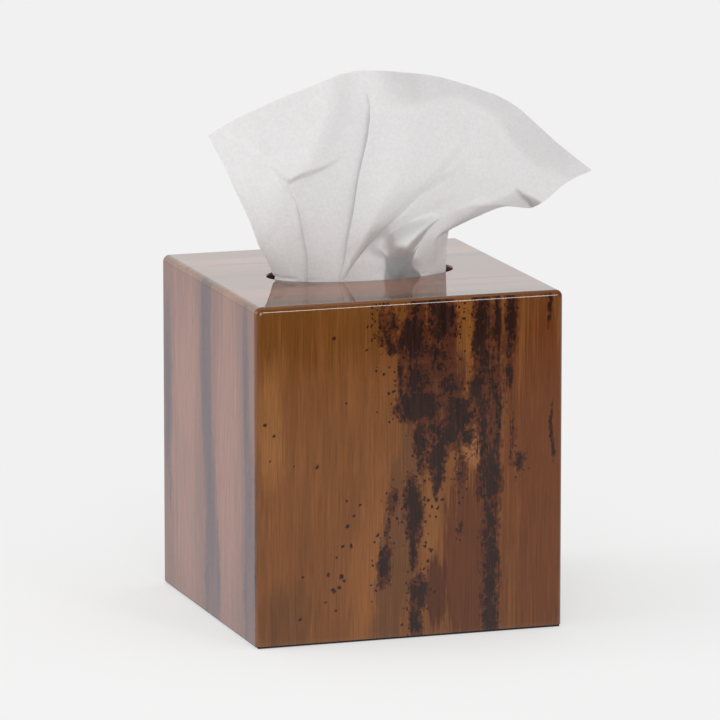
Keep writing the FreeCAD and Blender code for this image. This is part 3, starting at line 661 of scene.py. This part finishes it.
# Pulled tissue: one sheet of soft two-ply paper, drawn up through the slot and left standing in a fan.
# Its tail is gathered in the film's slit, and it leans on the front of the slot's rim.
def through(places, points, wanted, ease=1.0):
    """A curve through points at their places, read at the wanted places. An ease of 0 makes a crease."""
    places, points = np.asarray(places, float), np.asarray(points, float)
    ease = np.reshape(ease, np.shape(ease) + (1,) * (points.ndim - np.ndim(ease)))
    slopes = np.gradient(points, places, axis=0) * ease
    i = np.clip(np.searchsorted(places, wanted) - 1, 0, len(places) - 2)
    gap = (places[i + 1] - places[i]).reshape(-1, *[1] * (points.ndim - 1))
    share = (wanted - places[i]).reshape(gap.shape) / gap
    blend = share * share * (3 - 2 * share)
    start = (1 + 2 * share) * (1 - share) ** 2 * points[i] + share * (1 - share) ** 2 * gap * slopes[i]
    return start + blend * points[i + 1] - share * share * (1 - share) * gap * slopes[i + 1]


def from_line(line, across, rise):
    """How far points lie to the right of a line of points, and how far along it, counted in its points."""
    best = np.full(across.shape, np.inf)
    side = np.zeros(across.shape)
    far = np.zeros(across.shape)
    for i, ((x0, y0), (x1, y1)) in enumerate(zip(line, line[1:])):
        dx, dy = x1 - x0, y1 - y0
        share = np.clip(((across - x0) * dx + (rise - y0) * dy) / (dx * dx + dy * dy), 0, 1)
        gap = np.hypot(across - x0 - share * dx, rise - y0 - share * dy)
        turn = np.sign((across - x0) * dy - (rise - y0) * dx)
        nearer = gap < best
        best = np.where(nearer, gap, best)
        side = np.where(nearer, turn, side)
        far = np.where(nearer, i + share, far)
    return best * side, far


# The fan stands on the slot's rim (mm), faces a little to the left and leans back.
RIM = 149.5
TURN, LEAN = math.radians(18.3), math.radians(11)
ACROSS = np.array([math.cos(TURN), -math.sin(TURN), 0])
PROUD = np.array([-math.sin(TURN) * math.cos(LEAN), -math.cos(TURN) * math.cos(LEAN), math.sin(LEAN)])
RISE = np.cross(PROUD, ACROSS)

# Ribs of the fan from its left edge to its right edge, each from the rim up to the sheet's free edge (mm),
# with its points at these shares of the way up.
RIB_PLACES = [0, 0.15, 0.2, 0.36, 0.56, 0.78, 1]
LEFT_EDGE = [
    (-40.6, -4, 149.5), (-46, -8, 160), (-48.5, -9.5, 163.5), (-54, -12, 176),
    (-60.5, -12, 190), (-65.5, -8, 202.5), (-70, -2, 214),
]
LEFT_PANEL = [
    (-35.5, -11.5, 150), (-39.5, -15, 162), (-40.5, -16, 165.5), (-45.5, -19, 181),
    (-50, -18, 197), (-54, -13, 210.5), (-57, -6, 222),
]
PINCHED_FOLD = [
    (-29, -15, 149.5), (-30.5, -19, 162.5), (-31.5, -20, 166), (-35.5, -23, 182),
    (-39, -22, 196), (-40.5, -17, 213), (-41.5, -9, 229),
]
MIDDLE_PANEL = [
    (-22.5, -17.5, 149.5), (-22.5, -20, 162), (-22.5, -20.5, 165.5), (-22.5, -22, 182),
    (-23.5, -23, 199), (-24.5, -20, 217), (-22, -11, 236),
]
FLAP_LEFT = [
    (-16, -19.5, 149.5), (-13.4, -21.5, 162.8), (-13.4, -22.5, 166.3), (-11.5, -25.5, 180.7),
    (-9, -26, 197), (-3.5, -22.5, 215), (4, -12, 240.3),
]
FLAP_MIDDLE = [
    (-15.5, -19.5, 149.5), (-10.3, -24.4, 162.9), (-8.6, -26, 166.4), (-1.5, -30, 181.7),
    (7.5, -29.5, 199), (18, -23.5, 218.5), (27, -13, 237.8),
]
FLAP_RIGHT = [
    (-15, -20, 149.5), (-7.2, -22.7, 162.1), (-3.2, -23.8, 167.1), (10, -26.6, 181.8),
    (23.5, -27, 196), (37, -23, 209), (47.5, -14, 231.5),
]
ROUND_FOLD = [
    (-6, -20.5, 149), (-3.5, -20, 160.5), (-0.5, -18, 165), (14, -26, 180),
    (29.5, -26, 193.5), (45, -23, 206), (58, -15, 227.5),
]
HOLLOW_LEFT = [
    (4.5, -20, 149.5), (5.5, -17, 158.5), (3.9, -16, 163.3), (20, -25, 178.5),
    (35.5, -25, 190.5), (52, -22.5, 202.5), (67.5, -15, 222),
]
HOLLOW = [
    (21, 9, 141), (20, 5, 149.5), (13.5, -22, 161), (25, -24.5, 178),
    (41, -24.5, 187.5), (60, -22, 198), (77.5, -14, 213.5),
]
HOLLOW_RIGHT = [
    (22.5, -17.5, 149.5), (18, -21, 159), (21, -23.4, 167), (31.5, -24.6, 177.5),
    (49, -23.5, 185), (69, -21, 194), (87, -13, 205),
]
RIGHT_PANEL = [
    (31, -13, 149), (29.5, -17, 159.5), (29.5, -20.8, 167), (39.6, -24, 178.3),
    (58.6, -23.4, 182.3), (79.5, -18, 189), (96, -12, 197.5),
]
RIGHT_EDGE = [
    (36.5, -9.5, 149.5), (36.3, -12.5, 164.5), (36.3, -14, 168.3), (56.9, -21, 178.4),
    (73.5, -21.7, 178.3), (90.5, -16, 187), (104, -11, 191),
]


def tucked(rib, beside, sideways, back):
    """The hidden turn of a pleat: a rib moved sideways and back, and half way to one beside it higher up."""
    moved = np.array(rib, float)
    low = len(sideways)
    moved[:low] += np.outer(sideways, ACROSS) - np.outer(back, PROUD)
    moved[low:] = (moved[low:] + np.array(beside, float)[low:]) / 2
    return moved.tolist()


FLAP_TUCK = tucked(FLAP_LEFT, MIDDLE_PANEL, [7, 8, 8, 7, 6, 4], [2, 5, 5, 5, 5, 5])

# The free edge stays even where this pleat ends.
FLAP_TUCK[-1] = (-8.6, -10, 239.9)

# Each rib, its ease near the slot, where 0 is a sharp crease, and how far up the crease starts to fade.
FAN = [
    (LEFT_EDGE, 1, 0.4),
    (LEFT_PANEL, 1, 0.4),
    (tucked(PINCHED_FOLD, LEFT_PANEL, [3, 3, 3, 1.5], [2.5, 3, 3, 1.2]), 0.4, 0.4),
    (PINCHED_FOLD, 0.3, 0.4),
    (MIDDLE_PANEL, 1, 0.4),
    (FLAP_TUCK, 0.4, 0.65),
    (FLAP_LEFT, 0.1, 0.65),
    (FLAP_MIDDLE, 1, 0.4),
    (FLAP_RIGHT, 0.2, 0.4),
    (tucked(FLAP_RIGHT, ROUND_FOLD, [0.5, 0.5, 0.5, 2.5], [0.4, 2.5, 4, 1.6]), 0.5, 0.4),
    (ROUND_FOLD, 1, 0.4),
    (HOLLOW_LEFT, 0.3, 0.4),
    (HOLLOW, 0.8, 0.4),
    (HOLLOW_RIGHT, 0.3, 0.4),
    (RIGHT_PANEL, 1, 0.4),
    (RIGHT_EDGE, 1, 0.4),
]
CREASE_FADE = 0.35
COLUMNS, ROWS, TAIL_ROWS = 301, 112, 52
heights = np.linspace(0, 1, ROWS)
ribs = np.swapaxes(np.array([rib for rib, ease, fade in FAN], float), 0, 1)

# The two ribs on the right turn sharply outwards above the slot.
turns = np.ones(ribs.shape[:2])
turns[2, -2:] = 0.1
ribs = through(RIB_PLACES, ribs, heights, turns)
eases = np.array([ease for rib, ease, fade in FAN])[:, None]
fades = np.array([fade for rib, ease, fade in FAN])[:, None]
eases = eases + (1 - eases) * smooth(fades, fades + CREASE_FADE, heights)
fan = through(np.arange(len(FAN)), np.swapaxes(ribs, 0, 1), np.linspace(0, len(FAN) - 1, COLUMNS), eases)
from_slot = fan - np.array([0, 0, RIM])
across, rise = from_slot @ ACROSS, from_slot @ RISE

# Creases that cross the ribs: a line of points, how far the sheet stands proud at each of them, how far to
# the right of the line that fades out, and how wide the step on its left is.
CREASES = [
    (
        [(-3.5, 53), (-10, 49.5), (-17.5, 44.8), (-26, 42), (-30.5, 39.7), (-32, 38)],
        [0, 1, 2.4, 3.4, 3.6, 0],
        12,
        2.2,
    ),
    ([(45.5, 67.5), (43.5, 57), (31.5, 43), (17, 28), (10, 22)], [0, 1, 1.4, 1.6, 0.5], 10, 4),
    ([(50, 52), (32, 39.5), (22, 32)], [0, 0.9, 0], 6, 3),
    (
        [(42, 20), (38.5, 18.2), (35.3, 17), (32.7, 14), (33, 7), (33.5, -0.5)],
        [0, 2, 2.5, 2.5, 2, 0.5],
        6,
        1,
    ),
]
proud = np.zeros(across.shape)
for line, steps, run, soft in CREASES:
    gap, far = from_line(line, across, rise)
    step = np.interp(far, np.arange(len(line)), steps)
    proud += step * np.where(gap > 0, np.exp(-np.maximum(gap, 0) / run), 1 - smooth(0, soft, -gap))

# A soft ridge runs down to the pinch, and the free edge on the right bends back.
RIDGE = [(-11.5, 86), (-12.5, 66.5), (-17.5, 56.5), (-25, 44.5), (-30.5, 39.5)]
RIDGE_HEIGHT, RIDGE_WIDTH = 3.2, 6
gap = from_line(RIDGE, across, rise)[0]
proud += RIDGE_HEIGHT * np.exp(-((gap / RIDGE_WIDTH) ** 2))
BEND = [
    (101.5, 43), (92, 40.5), (76, 46), (66.5, 55.5), (60, 65.5),
    (54, 70), (44, 75), (36, 75), (26, 71.5), (8, 69.5),
]
BEND_SLOPE, BEND_ROUND = 0.8, 2
gap, far = from_line(BEND, across, rise)
gap = np.maximum(gap, 0) * (1 - smooth(len(BEND) - 2, len(BEND) - 1, far))
proud -= BEND_SLOPE * gap * gap / (gap + BEND_ROUND)

# The lower edge of the sail rolls under, as far as a hollow facet where the edge turns up.
ROLL = [(37.5, 16.5), (41.7, 21), (46.8, 25), (56.9, 31), (66.5, 35), (68, 37.5)]
ROLL_SHARES = [0, 1, 1, 1, 1, 0]
ROLL_ROUND = 2
gap, far = from_line(ROLL, across, rise)
under = np.maximum(gap, 0) * np.interp(far, np.arange(len(ROLL)), ROLL_SHARES)
proud -= under * under / (under + ROLL_ROUND)
FACET_TIP, FACET_LEFT, FACET_RIGHT = (68, 37.5), (62, 28), (77.2, 28.6)
FACET_SLOPE = 0.65
from_left = from_line([FACET_TIP, FACET_LEFT], across, rise)[0]
from_right = from_line([FACET_TIP, FACET_RIGHT], across, rise)[0]
proud -= FACET_SLOPE * np.maximum(-from_left, 0) * smooth(0, 1, from_right)

# Beside the slot the round fold rolls back into a shaded dent, over a cave with a bright crumpled lip.
DENT_ACROSS, DENT_RISE, DENT_REACH, DENT_DEPTH = 9.2, 12, 5, 5
from_dent = np.hypot(across - DENT_ACROSS, rise - DENT_RISE) / DENT_REACH
proud -= DENT_DEPTH * np.exp(-(from_dent**4))
LIP = [(15, 11.5), (19.5, 10), (23, 7.5), (26.5, 2)]
LIP_HEIGHT, LIP_WIDTH = 3, 2.2
gap = from_line(LIP, across, rise)[0]
proud += LIP_HEIGHT * np.exp(-((gap / LIP_WIDTH) ** 2))

# Fine crumple of the paper, each size with its height, stronger near the slot. At the rim it lies flat.
CRUMPLES = [(30, 2.2), (13, 0.9), (6, 0.3)]
crumple = np.zeros(across.shape)
for size, height in CRUMPLES:
    marks = [noise.noise(Vector((x / size, y / size, size))) for x, y in zip(across.flat, rise.flat)]
    crumple += height * np.abs(np.reshape(marks, across.shape))
proud += crumple * (0.45 + 0.55 * np.exp(-np.maximum(rise, 0) / 30))
held = smooth(RIM + 1, RIM + 10, fan[..., 2])
proud = np.where(proud > 0, proud * held, proud)
fan = fan + proud[..., None] * PROUD

# Below the rim the sheet slopes back to the film's slit, gathered in pleats that open again under the film.
FILM_TOP, LOOSE_FROM, LOOSE_BELOW, HEM = 127.0, 118, 84, 80
TAIL_LEFT, TAIL_RIGHT = -37, 33
TAIL_PLEAT, TAIL_FORWARD = 3.2, 4.6
foot = fan[:, 0, :]
run = np.linspace(TAIL_LEFT, TAIL_RIGHT, COLUMNS)
hem = HEM + 2 * np.sin(run / 7.3) + 1.2 * np.sin(run / 2.9 + 2)
depths = np.linspace(foot[:, 2], hem, TAIL_ROWS + 1, axis=1)[:, 1:]
run = run[:, None]
gather = smooth(0, 1, (foot[:, 2:] - depths) / (foot[:, 2:] - FILM_TOP))
loose = smooth(LOOSE_FROM, LOOSE_BELOW, depths)
slit = np.sqrt(1 - (run / SLIT_HALF) ** 2)
folds = (TAIL_PLEAT + 1.6 * loose) * pleated(SHEET_PLEATS, COLUMNS)[:, None] - TAIL_FORWARD - 2.4 * loose
tail = np.zeros((COLUMNS, TAIL_ROWS, 3))
tail[..., 0] = foot[:, :1] * (1 - gather) + gather * run * (1 + 0.06 * loose)
tail[..., 1] = foot[:, 1:2] * (1 - gather) + gather * slit * folds
tail[..., 2] = depths
sheet_points = np.concatenate([tail[:, ::-1], fan], axis=1)

# Where it passes the top board it stays inside the oval of the slot.
SLOT_LONG, SLOT_WIDE, SLOT_FILL = 42.5, 21.5, 0.972
oval = np.hypot(sheet_points[..., 0] / SLOT_LONG, sheet_points[..., 1] / SLOT_WIDE)
squeeze = np.where(sheet_points[..., 2] < RIM + 1.5, np.minimum(1, SLOT_FILL / oval), 1)
sheet_points[..., :2] *= squeeze[..., None]

tissue = new_sheet("pulled_sheet", sheet_points)
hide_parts("pulled_tissue")
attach(tissue, "tissue")


# Studio: a pale floor that runs into an even pale background; soft lamps in front, on the left and above.
# Mirrored in the lacquer, the room is bright at the back and dim in front, so that the bark's colour shows.
def lamp(name, spot, aim, size, watts):
    """A square soft lamp at a spot in metres, turned to an aim."""
    light = bpy.data.lights.new(name, "AREA")
    light.shape = "SQUARE"
    light.size = size
    light.energy = watts
    thing = bpy.data.objects.new(name, light)
    thing.location = spot
    thing.rotation_euler = (Vector(aim) - Vector(spot)).to_track_quat("-Z", "Y").to_euler()
    bpy.context.scene.collection.objects.link(thing)


lamp("key_softbox", (-0.6, -1.95, 0.55), (0, 0, 0.15), 1.1, 17.5)
lamp("left_softbox", (-1.8, 0.3, 0.8), (0, 0, 0.1), 1.2, 10.8)
lamp("edge_light", (0.74, -2.0, 1.2), (0, 0, 0.15), 0.4, 5)
lamp("top_softbox", (0.2, 0.3, 2.2), (0, 0, 0.1), 1.4, 2.5)

# The floor glows as evenly as the background, but near the cover (mm) it takes shadows, lifted a little.
PALE, LIFT = 0.88, 0.2
SHADED_FROM, SHADED_TO, SHADED_SHARE = 330.0, 110.0, 0.6
WHITE = (1, 1, 1, 1)
floor_mesh = bpy.data.meshes.new("floor")
floor_mesh.from_pydata([(-30, -30, 0), (30, -30, 0), (30, 30, 0), (-30, 30, 0)], [], [(0, 1, 2, 3)])
floor = bpy.data.objects.new("floor", floor_mesh)
floor.location.z = -0.2 * MM
bpy.context.scene.collection.objects.link(floor)
paper, tree, place = start_material("pale_studio_paper")
rays = node(tree, "ShaderNodeLightPath")
reach = node(tree, "ShaderNodeVectorMath", {0: place}, operation="LENGTH").outputs["Value"]
near = {0: reach, 1: SHADED_FROM, 2: SHADED_TO, 3: 0.0, 4: SHADED_SHARE}
near = node(tree, "ShaderNodeMapRange", near).outputs[0]
glow = node(tree, "ShaderNodeEmission", {"Color": WHITE, "Strength": PALE})
matt = node(tree, "ShaderNodeBsdfDiffuse", {"Color": (PALE, PALE, PALE, 1)})
lift = node(tree, "ShaderNodeEmission", {"Color": WHITE, "Strength": LIFT})
shaded = node(tree, "ShaderNodeAddShader", {0: matt.outputs[0], 1: lift.outputs[0]})
seen = node(tree, "ShaderNodeMixShader", {0: near, 1: glow.outputs[0], 2: shaded.outputs[0]})

# Mirrored, it is dim far out in front, brighter towards the cover, and bright beside and behind it (mm).
MIRROR_FROM, MIRROR_TO = -800.0, -70.0
MIRRORED = [
    (0.1, "#404040"), (0.33, "#959595"), (0.5, "#aaaaaa"),
    (0.75, "#b3b3b3"), (0.98, "#bebebe"), (1.0, "#f0ecf5"),
]
depth = node(tree, "ShaderNodeSeparateXYZ", {0: place}).outputs["Y"]
depth = node(tree, "ShaderNodeMapRange", {0: depth, 1: MIRROR_FROM, 2: MIRROR_TO}).outputs[0]
dim = node(tree, "ShaderNodeValToRGB", {0: depth}, MIRRORED).outputs[0]
shine = node(tree, "ShaderNodeEmission", {"Color": dim, "Strength": 1.0})
floor_look = {0: rays.outputs["Is Camera Ray"], 1: matt.outputs[0], 2: seen.outputs[0]}
floor_look = node(tree, "ShaderNodeMixShader", floor_look)
floor_look = {0: rays.outputs["Is Glossy Ray"], 1: floor_look.outputs[0], 2: shine.outputs[0]}
end_material(tree, node(tree, "ShaderNodeMixShader", floor_look))
floor_mesh.materials.append(paper)

# The room: even fill for matt things, bright at the back for gloss, and plain to the camera.
world = bpy.data.worlds.new("studio")
bpy.context.scene.world = world
world.use_nodes = True
tree = world.node_tree
tree.nodes.clear()
rays = node(tree, "ShaderNodeLightPath")
heading = node(tree, "ShaderNodeSeparateXYZ", {0: node(tree, "ShaderNodeTexCoord").outputs["Generated"]})
bright = {0: heading.outputs["Y"], 1: 0.4, 2: 0.8, 3: 0.08, 4: 1.2}
bright = node(tree, "ShaderNodeMapRange", bright).outputs[0]
room = node(tree, "ShaderNodeBackground", {"Color": WHITE, "Strength": bright})
fill = node(tree, "ShaderNodeBackground", {"Color": WHITE, "Strength": 0.55})
plain = node(tree, "ShaderNodeBackground", {"Color": WHITE, "Strength": PALE})
room_look = {0: rays.outputs["Is Glossy Ray"], 1: fill.outputs[0], 2: room.outputs[0]}
room_look = node(tree, "ShaderNodeMixShader", room_look)
room_look = {0: rays.outputs["Is Camera Ray"], 1: room_look.outputs[0], 2: plain.outputs[0]}
room_look = node(tree, "ShaderNodeMixShader", room_look)
node(tree, "ShaderNodeOutputWorld", {"Surface": room_look.outputs[0]})

# The camera looks from far off through a long lens, a little from the left and from above.
camera = bpy.data.objects.new("camera", bpy.data.cameras.new("camera"))
camera.data.lens = 350
camera.data.clip_end = 100
camera.location = (-0.9517, -2.8721, 0.6994)
camera.rotation_euler = Vector((0.30875, 0.93173, -0.1912)).to_track_quat("-Z", "Y").to_euler()
bpy.context.scene.collection.objects.link(camera)
bpy.context.scene.camera = camera
bpy.context.scene.view_settings.view_transform = "Standard"
